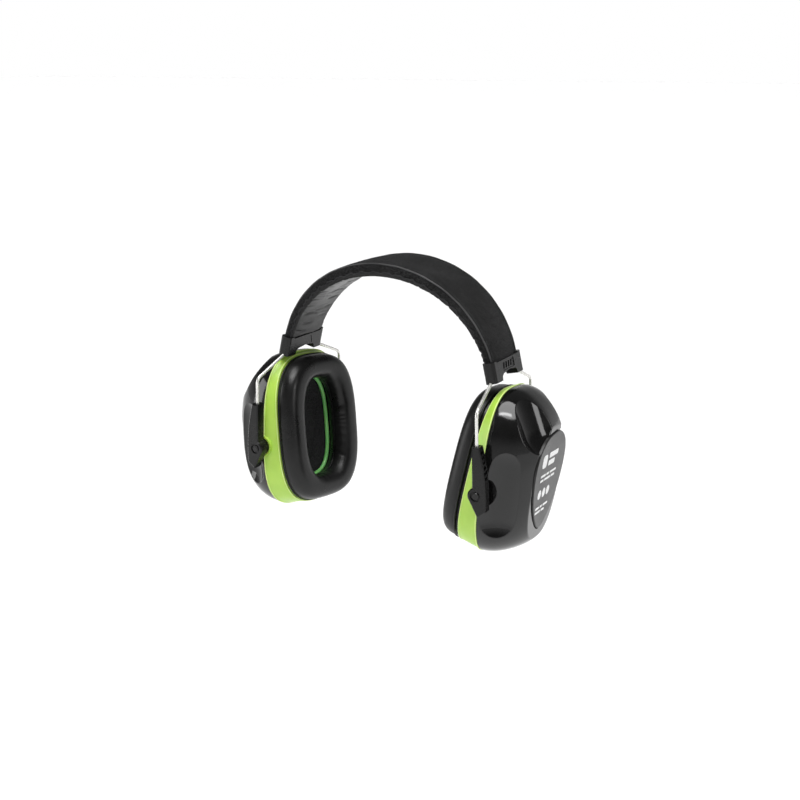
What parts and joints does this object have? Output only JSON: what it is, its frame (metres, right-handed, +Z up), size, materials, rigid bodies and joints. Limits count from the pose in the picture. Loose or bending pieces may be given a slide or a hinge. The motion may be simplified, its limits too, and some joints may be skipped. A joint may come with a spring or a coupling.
{
  "type": "earmuff hearing protector",
  "caption": "Over-the-head earmuff hearing protector: padded headband on two spring wires, height-adjustable arms and tilting ear cups with leatherette cushions.",
  "frame": {"origin": "middle of the headband pad's underside at the crown, where the wearer's head carries the band", "axes": "+Z up, X through the two ears, -Y towards the wearer's front"},
  "size_m": [0.2181, 0.0978, 0.1779],
  "materials": {
    "band_fabric": "matte woven black fabric",
    "band_pad": "soft satin black leatherette",
    "foam": "open-cell charcoal foam",
    "spring_steel": "polished stainless spring wire",
    "satin_black": "satin moulded black plastic",
    "pin_plastic": "satin dark grey plastic",
    "lime_plastic": "satin lime green plastic",
    "gloss_black": "high-gloss black plastic",
    "badge_satin": "satin charcoal plastic",
    "cushion_skin": "soft black leatherette"
  },
  "bodies": {
    "headband": {"headband_cover": "band_fabric", "headband_pad": "band_pad", "headband_core": "foam", "front_wire": "spring_steel", "rear_wire": "spring_steel", "left_bracket": "satin_black", "right_bracket": "satin_black"},
    "left_yoke": {"left_front_arm": "satin_black", "left_rear_arm": "satin_black", "left_front_pin": "pin_plastic", "left_rear_pin": "pin_plastic"},
    "left_cup": {"left_ring": "lime_plastic", "left_shell": "gloss_black", "left_badge": "badge_satin", "left_foam_liner": "foam", "left_cushion_plate": "satin_black", "left_cushion_cover": "cushion_skin", "left_cushion_foam": "foam"},
    "right_yoke": {"right_front_arm": "satin_black", "right_rear_arm": "satin_black", "right_front_pin": "pin_plastic", "right_rear_pin": "pin_plastic"},
    "right_cup": {"right_ring": "lime_plastic", "right_shell": "gloss_black", "right_badge": "badge_satin", "right_foam_liner": "foam", "right_cushion_plate": "satin_black", "right_cushion_cover": "cushion_skin", "right_cushion_foam": "foam"}
  },
  "joints": [
    {"name": "left_height", "type": "slide", "parent": "headband", "child": "left_yoke", "axis": [-0.0261, 0.0015, -0.9997], "range_m": [-0.001, 0.018]},
    {"name": "left_cup_tilt", "type": "hinge", "parent": "left_yoke", "child": "left_cup", "pos_m": [-0.07692, 0.00007, -0.11618], "axis": [-0.0558, -0.9984, 0], "range_deg": [-8, 6]},
    {"name": "right_height", "type": "slide", "parent": "headband", "child": "right_yoke", "axis": [0.0261, 0.0015, -0.9997], "range_m": [-0.005, 0.014]},
    {"name": "right_cup_tilt", "type": "hinge", "parent": "right_yoke", "child": "right_cup", "pos_m": [0.07703, 0.00007, -0.12018], "axis": [-0.0558, 0.9984, 0], "range_deg": [-10.2, 3.8]}
  ]
}
